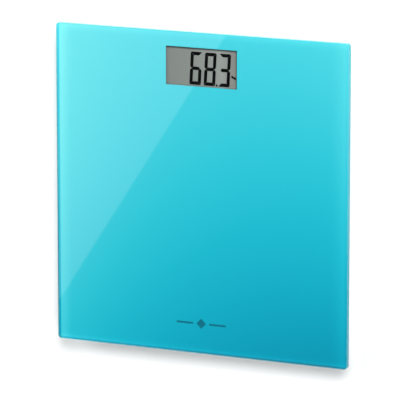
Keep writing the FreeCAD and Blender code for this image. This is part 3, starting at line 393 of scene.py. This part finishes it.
def zebra_rubber():
    """Alternating carbon-black and clear silicone stripes across the strip."""
    material, tree, shader = new_material("zebra_rubber", Roughness=0.6)
    stripes = node(
        tree,
        "TexWave",
        {"wave_type": "BANDS", "bands_direction": "X"},
        Vector=place(tree),
        Scale=1600.0,
        Distortion=0.0,
    ).outputs["Fac"]
    colour_by(tree, shader, stripes, [(0.45, (0.012, 0.012, 0.012)), (0.55, (0.32, 0.20, 0.16))])
    return material


# ---------------------------------------------------------------- electronics' materials


def board_laminate():
    """Green solder mask over copper tracks, seen as a slightly lighter raised maze."""
    material, tree, shader = new_material("board_laminate", Specular_IOR_Level=0.6)
    where = place(tree)
    lanes = node(
        tree,
        "TexBrick",
        {"offset": 0.5},
        Vector=where,
        Scale=85.0,
        Mortar_Size=0.09,
        Brick_Width=1.6,
        Row_Height=0.22,
    ).outputs["Fac"]
    fibres = noise(tree, where, 1300.0, 3.0)
    tracks = total(tree, (lanes, 0.75), (fibres, 0.25))
    colour_by(tree, shader, tracks, [(0.2, (0.010, 0.10, 0.045)), (0.7, (0.02, 0.19, 0.075))])
    rough_by(tree, shader, fibres, 0.22, 0.38)
    bumped(tree, shader, lanes, 0.03 * MM)
    return material


def chip_resin():
    """Glossy black resin with a wrinkled skin."""
    material, tree, shader = new_material("chip_resin", Coat_Weight=0.5, Coat_Roughness=0.08)
    wrinkles = noise(tree, place(tree), 320.0, 5.0)
    colour_by(tree, shader, wrinkles, [(0.3, (0.008, 0.008, 0.008)), (0.7, (0.02, 0.02, 0.022))])
    rough_by(tree, shader, wrinkles, 0.2, 0.4)
    bumped(tree, shader, wrinkles, 0.08 * MM)
    return material


def component_body():
    """Small ceramic and moulded bodies, mottled brown."""
    material, tree, shader = new_material("component_body", Roughness=0.42)
    cloud = noise(tree, place(tree), 650.0, 4.0)
    colour_by(tree, shader, cloud, [(0.35, (0.14, 0.105, 0.075)), (0.65, (0.26, 0.20, 0.15))])
    bumped(tree, shader, cloud, 0.02 * MM)
    return material


LABEL_COLUMN = 0.31
LABEL_ROW = 0.19
LABEL_LINE = 0.22 * MM


def label_film():
    """Brushed silver film with a dark printed frame and ruled rows."""
    material, tree, shader = new_material("label_film", Metallic=0.6, Coat_Weight=0.3)
    own = tree.nodes.new("ShaderNodeTexCoord").outputs["Object"]
    centred = node(tree, "Mapping", Vector=own, Location=-LABEL_MIDDLE.to_3d()).outputs["Vector"]
    rules = node(
        tree,
        "TexBrick",
        {"offset": 0.0},
        Vector=centred,
        Scale=1.0,
        Mortar_Size=LABEL_LINE,
        Mortar_Smooth=0.0,
        Brick_Width=LABEL_SIZE.x * LABEL_COLUMN,
        Row_Height=LABEL_SIZE.y * LABEL_ROW,
    ).outputs["Fac"]
    streaks = noise(tree, place(tree, (1, 30, 1)), 500.0, 4.0, 0.7)
    film = ramp(tree, streaks, [(0.3, (0.56, 0.57, 0.58)), (0.7, (0.70, 0.71, 0.72))])
    printed = blend(tree, film, (0.06, 0.06, 0.065, 1), rules)
    tree.links.new(printed, shader.inputs["Base Color"])
    rough_by(tree, shader, streaks, 0.28, 0.46)
    return material


def lead_sleeve():
    """Soft PVC: each lead of the three gets its tone from where it runs."""
    material, tree, shader = new_material("lead_sleeve", Roughness=0.5)
    lanes = noise(tree, place(tree), 700.0, 1.0)
    colour_by(tree, shader, lanes, [(0.4, (0.46, 0.45, 0.43)), (0.6, (0.62, 0.60, 0.56))])
    bumped(tree, shader, lanes, 0.02 * MM)
    return material


TRAY_GREY = (0.72, 0.735, 0.74)
MATERIALS = {
    "clear_glass": clear_glass,
    "turquoise_print": turquoise_print,
    "emblem_ink": emblem_ink,
    "foam_tape": foam_tape,
    "tray_plastic": lambda: moulded("tray_plastic", TRAY_GREY, 0.48, wear=0.02),
    "seat_plastic": lambda: moulded("seat_plastic", (0.60, 0.61, 0.62), 0.55, relief=0.01),
    "foot_plastic": lambda: moulded("foot_plastic", (0.60, 0.615, 0.63), 0.5),
    "pad_rubber": lambda: rubber("pad_rubber", (0.022, 0.022, 0.024)),
    "cell_steel": lambda: brushed("cell_steel", (0.56, 0.57, 0.58), 0.32),
    "button_steel": lambda: brushed("button_steel", (0.64, 0.64, 0.65), 0.25, (1, 1, 20)),
    "screw_steel": lambda: brushed("screw_steel", (0.60, 0.60, 0.60), 0.3, (1, 1, 8)),
    "contact_steel": lambda: brushed("contact_steel", (0.70, 0.67, 0.60), 0.28),
    "coin_can": lambda: brushed("coin_can", (0.68, 0.68, 0.69), 0.22, (3, 3, 1)),
    "gauge_sealant": lambda: rubber("gauge_sealant", (0.62, 0.60, 0.53), 0.45, 500.0),
    "lcd_glass": lcd_glass,
    "reflector_film": reflector_film,
    "zebra_rubber": zebra_rubber,
    "board_laminate": board_laminate,
    "chip_resin": chip_resin,
    "component_body": component_body,
    "switch_plastic": lambda: moulded("switch_plastic", (0.02, 0.02, 0.02), 0.45, relief=0.01),
    "stem_plastic": lambda: moulded("stem_plastic", (0.42, 0.07, 0.04), 0.4, relief=0.01),
    "key_plastic": lambda: moulded("key_plastic", (0.20, 0.21, 0.22), 0.42),
    "label_film": label_film,
    "lead_sleeve": lead_sleeve,
}


def dress_cad_nodes():
    """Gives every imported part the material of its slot."""
    made = {}
    for part in frame["record"]["subparts"]:
        slot = part["material_slot"]
        if slot not in made:
            made[slot] = MATERIALS[slot]()
        slots = NODES[part["node"]].data.materials
        slots.clear()
        slots.append(made[slot])


# Widths of the rounds, in millimetres.
EDGE_BREAKS = {"base_tray": 0.25, "battery_door": 0.12, "unit_button": 0.1}
FOOT_EDGE_BREAK = 0.15
WELD_REACH = 0.001 * MM
SHARP_ANGLE = math.radians(40)


def break_edges():
    """Small rounds on moulded edges, so that they catch light as real ones do."""
    widths = {**EDGE_BREAKS, **{f"foot_{corner}": FOOT_EDGE_BREAK for corner in CORNERS}}
    for name, width in widths.items():
        weld = NODES[name].modifiers.new("weld", "WELD")
        weld.merge_threshold = WELD_REACH
        bevel = NODES[name].modifiers.new("edge_break", "BEVEL")
        bevel.width = width * MM
        bevel.segments = 2
        bevel.limit_method = "ANGLE"
        bevel.angle_limit = SHARP_ANGLE
        bevel.use_clamp_overlap = True


def made_object(name, mesh, material):
    """The mesh as an object of that material in the scene."""
    data = bpy.data.meshes.new(name)
    mesh.to_mesh(data)
    mesh.free()
    data.materials.append(material)
    made = bpy.data.objects.new(name, data)
    bpy.context.scene.collection.objects.link(made)
    return made


# ---------------------------------------------------------------- the readout

DIGIT_TALL = 29 * MM
DIGIT_WIDE = 11 * MM
STROKE = 3 * MM
CORNER = 0.9 * MM
SEGMENT_GAP = 0.07 * MM
SLANT = math.tan(math.radians(3))
DIGIT_PITCH = 13.7 * MM
READOUT_RIGHT = 27.8 * MM
READOUT_MIDDLE_Y = 110.5 * MM
SEGMENT_THICK = 0.05 * MM
SEGMENT_LIFT = 0.02 * MM

# The reading's digits from the right, and the segments that each one lights.
READING = (3, 8, 6)
LIT = {
    6: ("top", "upper_left", "middle", "lower_left", "lower_right", "bottom"),
    8: ("top", "upper_left", "upper_right", "middle", "lower_left", "lower_right", "bottom"),
    3: ("top", "upper_right", "middle", "lower_right", "bottom"),
}


def segments():
    """Outlines of a digit's seven segments: mitred at the outer corners, pointed at the waist."""
    wide, tall, waist = DIGIT_WIDE, DIGIT_TALL, DIGIT_TALL / 2
    gap, half, chamfer = SEGMENT_GAP, STROKE / 2, CORNER / 2
    top = [
        (chamfer + gap, tall - chamfer),
        (CORNER + gap, tall),
        (wide - CORNER - gap, tall),
        (wide - chamfer - gap, tall - chamfer),
        (wide - STROKE - gap, tall - STROKE),
        (STROKE + gap, tall - STROKE),
    ]
    upper_left = [
        (0, tall - CORNER - gap),
        (chamfer, tall - chamfer - gap),
        (STROKE, tall - STROKE - gap),
        (STROKE, waist + half + gap),
        (half, waist + gap),
        (0, waist + half + gap),
    ]
    middle = [
        (half + gap, waist),
        (STROKE + gap, waist + half),
        (wide - STROKE - gap, waist + half),
        (wide - half - gap, waist),
        (wide - STROKE - gap, waist - half),
        (STROKE + gap, waist - half),
    ]

    def across(points):
        return [(wide - x, y) for x, y in points]

    def below(points):
        return [(x, tall - y) for x, y in points]

    return {
        "top": top,
        "upper_left": upper_left,
        "upper_right": across(upper_left),
        "middle": middle,
        "lower_left": below(upper_left),
        "lower_right": across(below(upper_left)),
        "bottom": below(top),
    }


def plate(mesh, outline, low, high):
    """Adds a flat plate with that outline between two levels."""
    rings = [[mesh.verts.new((x, y, z)) for x, y in outline] for z in (low, high)]
    mesh.faces.new(list(reversed(rings[0])))
    mesh.faces.new(rings[1])
    for i in range(len(outline)):
        following = (i + 1) % len(outline)
        mesh.faces.new((rings[0][i], rings[0][following], rings[1][following], rings[1][i]))


def slanted(points, origin):
    """Points moved to the origin and leaned to the right, as the segments of a display are."""
    return [(origin.x + x + SLANT * y, origin.y + y) for x, y in points]


POINT_SIZE = 1.7 * MM
POINT_LEFT = 2.1 * MM
# The unit's mark: two short slanting bars to the right of the last digit, outlined in millimetres.
UNIT_BAR = ((0, 1.6), (2.0, 0.8), (2.0, -1.4), (0, -0.6))
UNIT_BARS = 2
UNIT_BAR_STEP = Vector((2.2, -1.0)) * MM
UNIT_MARK = Vector((28.2, 105.0)) * MM


def readout():
    """The lit segments, the decimal point and the unit's small mark, on the panel's face."""
    mesh = bmesh.new()
    low = LCD_HIGH.z + SEGMENT_LIFT
    high = low + SEGMENT_THICK
    outlines = segments()
    origin = Vector((
        READOUT_RIGHT - DIGIT_WIDE - SLANT * DIGIT_TALL, READOUT_MIDDLE_Y - DIGIT_TALL / 2
    ))
    dot = [(0, 0), (POINT_SIZE, 0), (POINT_SIZE, POINT_SIZE), (0, POINT_SIZE)]
    plate(mesh, slanted(dot, origin - Vector((POINT_LEFT, 0))), low, high)
    for digit in READING:
        for name in LIT[digit]:
            plate(mesh, slanted(outlines[name], origin), low, high)
        origin.x -= DIGIT_PITCH
    for count in range(UNIT_BARS):
        corner = UNIT_MARK + UNIT_BAR_STEP * count
        plate(mesh, [(corner.x + x * MM, corner.y + y * MM) for x, y in UNIT_BAR], low, high)
    bmesh.ops.recalc_face_normals(mesh, faces=mesh.faces)
    piece = made_object("readout_segments", mesh, segment_dye())
    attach(piece, "scale_body")


# ---------------------------------------------------------------- the glass's edge

EDGE_INSET = 0.05 * MM
EDGE_THICK = 0.04 * MM
EDGE_CORNER = 3 * MM
EDGE_CORNER_STEPS = 8
ARRIS = 0.7 * MM
# The frosted edge's tone: at the heel, the painted light that the display end adds, its grain, and
# the painted shade that the left and right sides take away.
EDGE_TONE = 0.2
EDGE_PAINTED_LIGHT_UP = 0.7
EDGE_GRAIN = 0.1
EDGE_PAINTED_SHADE_LEFT = -0.1
EDGE_PAINTED_SHADE_LEFT_DEEP = -0.3
EDGE_PAINTED_SHADE_RIGHT = -0.35
PAINTED_SHADE_LEFT_FROM = 60 * MM
# The frosted edge's colours from its darkest tone to its palest, spread by its grain and its painted
# light and shade.
EDGE_TONES = (
    (0.0, (0.006, 0.17, 0.22)),
    (0.3, (0.012, 0.30, 0.38)),
    (0.7, (0.035, 0.56, 0.64)),
    (0.98, (0.160, 0.80, 0.80)),
)


def edge_tint():
    """Frosted teal of a ground edge, whose teal paints the print's light that the glass carries to it;
    painted light makes it paler towards the display and painted shade deep along the left side.
    """
    material, tree, shader = new_material("edge_tint", Roughness=0.6, Specular_IOR_Level=0.2)
    grain = noise(tree, place(tree, (1, 1, 3)), 900.0, 4.0)
    x, y = axes(tree)
    along = fade(tree, y, GLASS_HIGH.y, GLASS_LOW.y)
    left = fade(tree, x, GLASS_LOW.x, GLASS_LOW.x + EDGE_CORNER)
    right = fade(tree, x, GLASS_HIGH.x, GLASS_HIGH.x - EDGE_CORNER)
    painted_shade_below_display = fade(tree, y, GLASS_HIGH.y - PAINTED_SHADE_LEFT_FROM, GLASS_HIGH.y - EDGE_CORNER)
    # Painted light paler towards the display; painted shade along the left side and at the right near
    # the display.
    tone = total(
        tree,
        (1.0, EDGE_TONE),
        (along, EDGE_PAINTED_LIGHT_UP),
        (grain, EDGE_GRAIN),
        (left, EDGE_PAINTED_SHADE_LEFT),
        (product(tree, left, painted_shade_below_display), EDGE_PAINTED_SHADE_LEFT_DEEP),
        (product(tree, right, along), EDGE_PAINTED_SHADE_RIGHT),
    )
    colour_by(tree, shader, tone, EDGE_TONES)
    return material


def rounded_outline(reach, radius):
    """A rectangle's outline with round corners, anticlockwise from its right-hand side."""
    points = []
    for turn, (a, b) in enumerate(((1, 1), (-1, 1), (-1, -1), (1, -1))):
        middle = Vector((a * (reach.x - radius), b * (reach.y - radius)))
        for step in range(EDGE_CORNER_STEPS + 1):
            angle = math.radians(90) * (turn + step / EDGE_CORNER_STEPS)
            points.append(middle + Vector((math.cos(angle), math.sin(angle))) * radius)
    return points


def ground_edge():
    """A thin frosted band just inside the glass's four sides, between its two arrises, coloured with
    painted light and shade.
    """
    mesh = bmesh.new()
    outer = rounded_outline(GLASS_HIGH.to_2d() - Vector((EDGE_INSET,) * 2), EDGE_CORNER - EDGE_INSET)
    inset = EDGE_INSET + EDGE_THICK
    inner = rounded_outline(GLASS_HIGH.to_2d() - Vector((inset,) * 2), EDGE_CORNER - inset)
    low, high = GLASS_LOW.z + ARRIS, GLASS_HIGH.z - ARRIS
    rings = [
        [mesh.verts.new((x, y, z)) for x, y in outline]
        for outline, z in ((outer, low), (outer, high), (inner, high), (inner, low))
    ]
    for ring, after in zip(rings, rings[1:] + rings[:1]):
        for i in range(len(ring)):
            following = (i + 1) % len(ring)
            mesh.faces.new((ring[i], ring[following], after[following], after[i]))
    bmesh.ops.recalc_face_normals(mesh, faces=mesh.faces)
    piece = made_object("ground_edge", mesh, edge_tint())
    piece.visible_shadow = False
    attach(piece, "scale_body")


# ---------------------------------------------------------------- stage, light and camera

FLOOR_REACH = 6.0
FLOOR_GAP = 0.05 * MM


def floor():
    """A pale matt sheet under the scale."""
    mesh = bmesh.new()
    bmesh.ops.create_grid(mesh, x_segments=1, y_segments=1, size=FLOOR_REACH)
    material, tree, shader = new_material("floor_paper", Roughness=0.9, Specular_IOR_Level=0.1)
    fibre = noise(tree, place(tree), 6.0, 4.0)
    colour_by(tree, shader, fibre, [(0.3, (0.93,) * 3), (0.7, (0.95,) * 3)])
    sheet = made_object("floor", mesh, material)
    sheet.location.z = -FLOOR_GAP


def soft_box(name, power, width, depth, middle, aim):
    """A rectangular lamp at middle that faces aim."""
    lamp = bpy.data.lights.new(name, "AREA")
    lamp.shape = "RECTANGLE"
    lamp.size, lamp.size_y = width, depth
    lamp.energy = power
    holder = bpy.data.objects.new(name, lamp)
    holder.location = middle
    holder.rotation_euler = (Vector(aim) - Vector(middle)).to_track_quat("-Z", "Y").to_euler()
    bpy.context.scene.collection.objects.link(holder)
    return holder


def surroundings(brightness):
    """An even white surrounding of that brightness."""
    world = bpy.data.worlds.new("studio")
    world.use_nodes = True
    background = world.node_tree.nodes["Background"]
    background.inputs["Color"].default_value = (1.0, 1.0, 1.0, 1)
    background.inputs["Strength"].default_value = brightness
    bpy.context.scene.world = world


# The camera stands off the glass's normal, to the reader's right and towards the display.
SIDE_ANGLE = math.radians(25.26)
RISE_ANGLE = math.radians(11.53)
CAMERA_DISTANCE = 3.321
AIM_OFFSET = Vector((0.3, -4.6)) * MM
LENS = 343.1
SENSOR = 36.0
CLIP_END = 50.0

BACK = Vector((
    math.sin(SIDE_ANGLE) * math.cos(RISE_ANGLE),
    math.sin(RISE_ANGLE),
    math.cos(SIDE_ANGLE) * math.cos(RISE_ANGLE),
))
RIGHT = Vector((0, 1, 0)).cross(BACK).normalized()
UP = BACK.cross(RIGHT)
EYE = TOP_MIDDLE + BACK * CAMERA_DISTANCE + RIGHT * AIM_OFFSET.x + UP * AIM_OFFSET.y


def camera():
    """The camera at the eye's place, looking along the line of sight."""
    data = bpy.data.cameras.new("view")
    data.sensor_width = SENSOR
    data.lens = LENS
    data.clip_end = CLIP_END
    holder = bpy.data.objects.new("view", data)
    turn = Matrix((RIGHT, UP, BACK)).transposed().to_4x4()
    holder.matrix_world = Matrix.Translation(EYE) @ turn
    bpy.context.scene.collection.objects.link(holder)
    bpy.context.scene.camera = holder


def reflected(point, height):
    """Where the camera's ray that mirrors off the glass at point meets that height above it."""
    ray = Vector(point) - Vector((EYE.x, EYE.y, 2 * GLASS_HIGH.z - EYE.z))
    return Vector(point) + ray * (height / ray.z)


# Where the bright card's edge shows in the glass: the ends of a slanting line across it.
SHEEN_TOP = Vector((23.8 * MM, 141.2 * MM, GLASS_HIGH.z))
SHEEN_LOW = Vector((-126.9 * MM, -89.3 * MM, GLASS_HIGH.z))
CARD_HEIGHT = 1.5
CARD_WIDTH = 1.1
CARD_LENGTH = 1.6
SHEEN_POWER = 3.35


def sheen_card():
    """A lamp whose straight edge the glass mirrors as a slanting line, bright to its left."""
    high, low = reflected(SHEEN_TOP, CARD_HEIGHT), reflected(SHEEN_LOW, CARD_HEIGHT)
    along = (high - low).normalized()
    outward = Vector((-along.y, along.x, 0))
    middle = (high + low) / 2 + outward * CARD_WIDTH / 2
    below = middle - Vector((0, 0, 1))
    lamp = soft_box("sheen_card", SHEEN_POWER, CARD_WIDTH, CARD_LENGTH, middle, below)
    lamp.matrix_world = Matrix.Translation(middle) @ Matrix((
        -outward, along, Vector((0, 0, 1))
    )).transposed().to_4x4()


FLAG_HEIGHT = 1.46


def readout_flag():
    """A dark card under the sheen's lamp, which keeps its reflection off the display's window."""
    view = (EYE - TOP_MIDDLE).normalized()
    bend = math.hypot(view.x, view.y) / GLASS_INDEX
    shift = (GLASS_HIGH.z - GLASS_LOW.z) * bend / math.sqrt(1 - bend**2)
    seen = Vector((view.x, view.y, 0)).normalized() * shift + Vector((0, 0, GLASS_HIGH.z))
    low, high = WINDOW_LOW, WINDOW_HIGH
    corners = ((low.x, low.y), (high.x, low.y), (high.x, high.y), (low.x, high.y))
    mesh = bmesh.new()
    mesh.faces.new([mesh.verts.new(reflected(Vector((*c, 0)) + seen, FLAG_HEIGHT)) for c in corners])
    material, tree, shader = new_material("flag_felt", Roughness=1.0, Specular_IOR_Level=0.0)
    nap = noise(tree, place(tree), 400.0, 3.0)
    colour_by(tree, shader, nap, [(0.3, (0.004,) * 3), (0.7, (0.008,) * 3)])
    flag = made_object("readout_flag", mesh, material)
    flag.visible_camera = flag.visible_shadow = flag.visible_diffuse = False


# Each large lamp's name, power in watts, width, depth and middle.
SOFT_BOXES = (
    ("key", 125.0, 2.2, 1.6, (1.5, 2.2, 2.4)),
    ("fill", 64.5, 2.6, 2.0, (1.9, -1.3, 2.6)),
    ("left_fill", 57.0, 1.6, 1.8, (-2.6, 1.2, 2.0)),
)
SURROUNDINGS = 0.03


def lights():
    """Three large lamps that the glass doesn't mirror, and the card that it does."""
    surroundings(SURROUNDINGS)
    for name, power, width, depth, middle in SOFT_BOXES:
        lamp = soft_box(name, power, width, depth, middle, (0, 0, 0))
        lamp.visible_glossy = False
    sheen_card()
    readout_flag()


scene = bpy.context.scene
scene.view_settings.view_transform = "Standard"
dress_cad_nodes()
break_edges()
readout()
ground_edge()
floor()
camera()
lights()
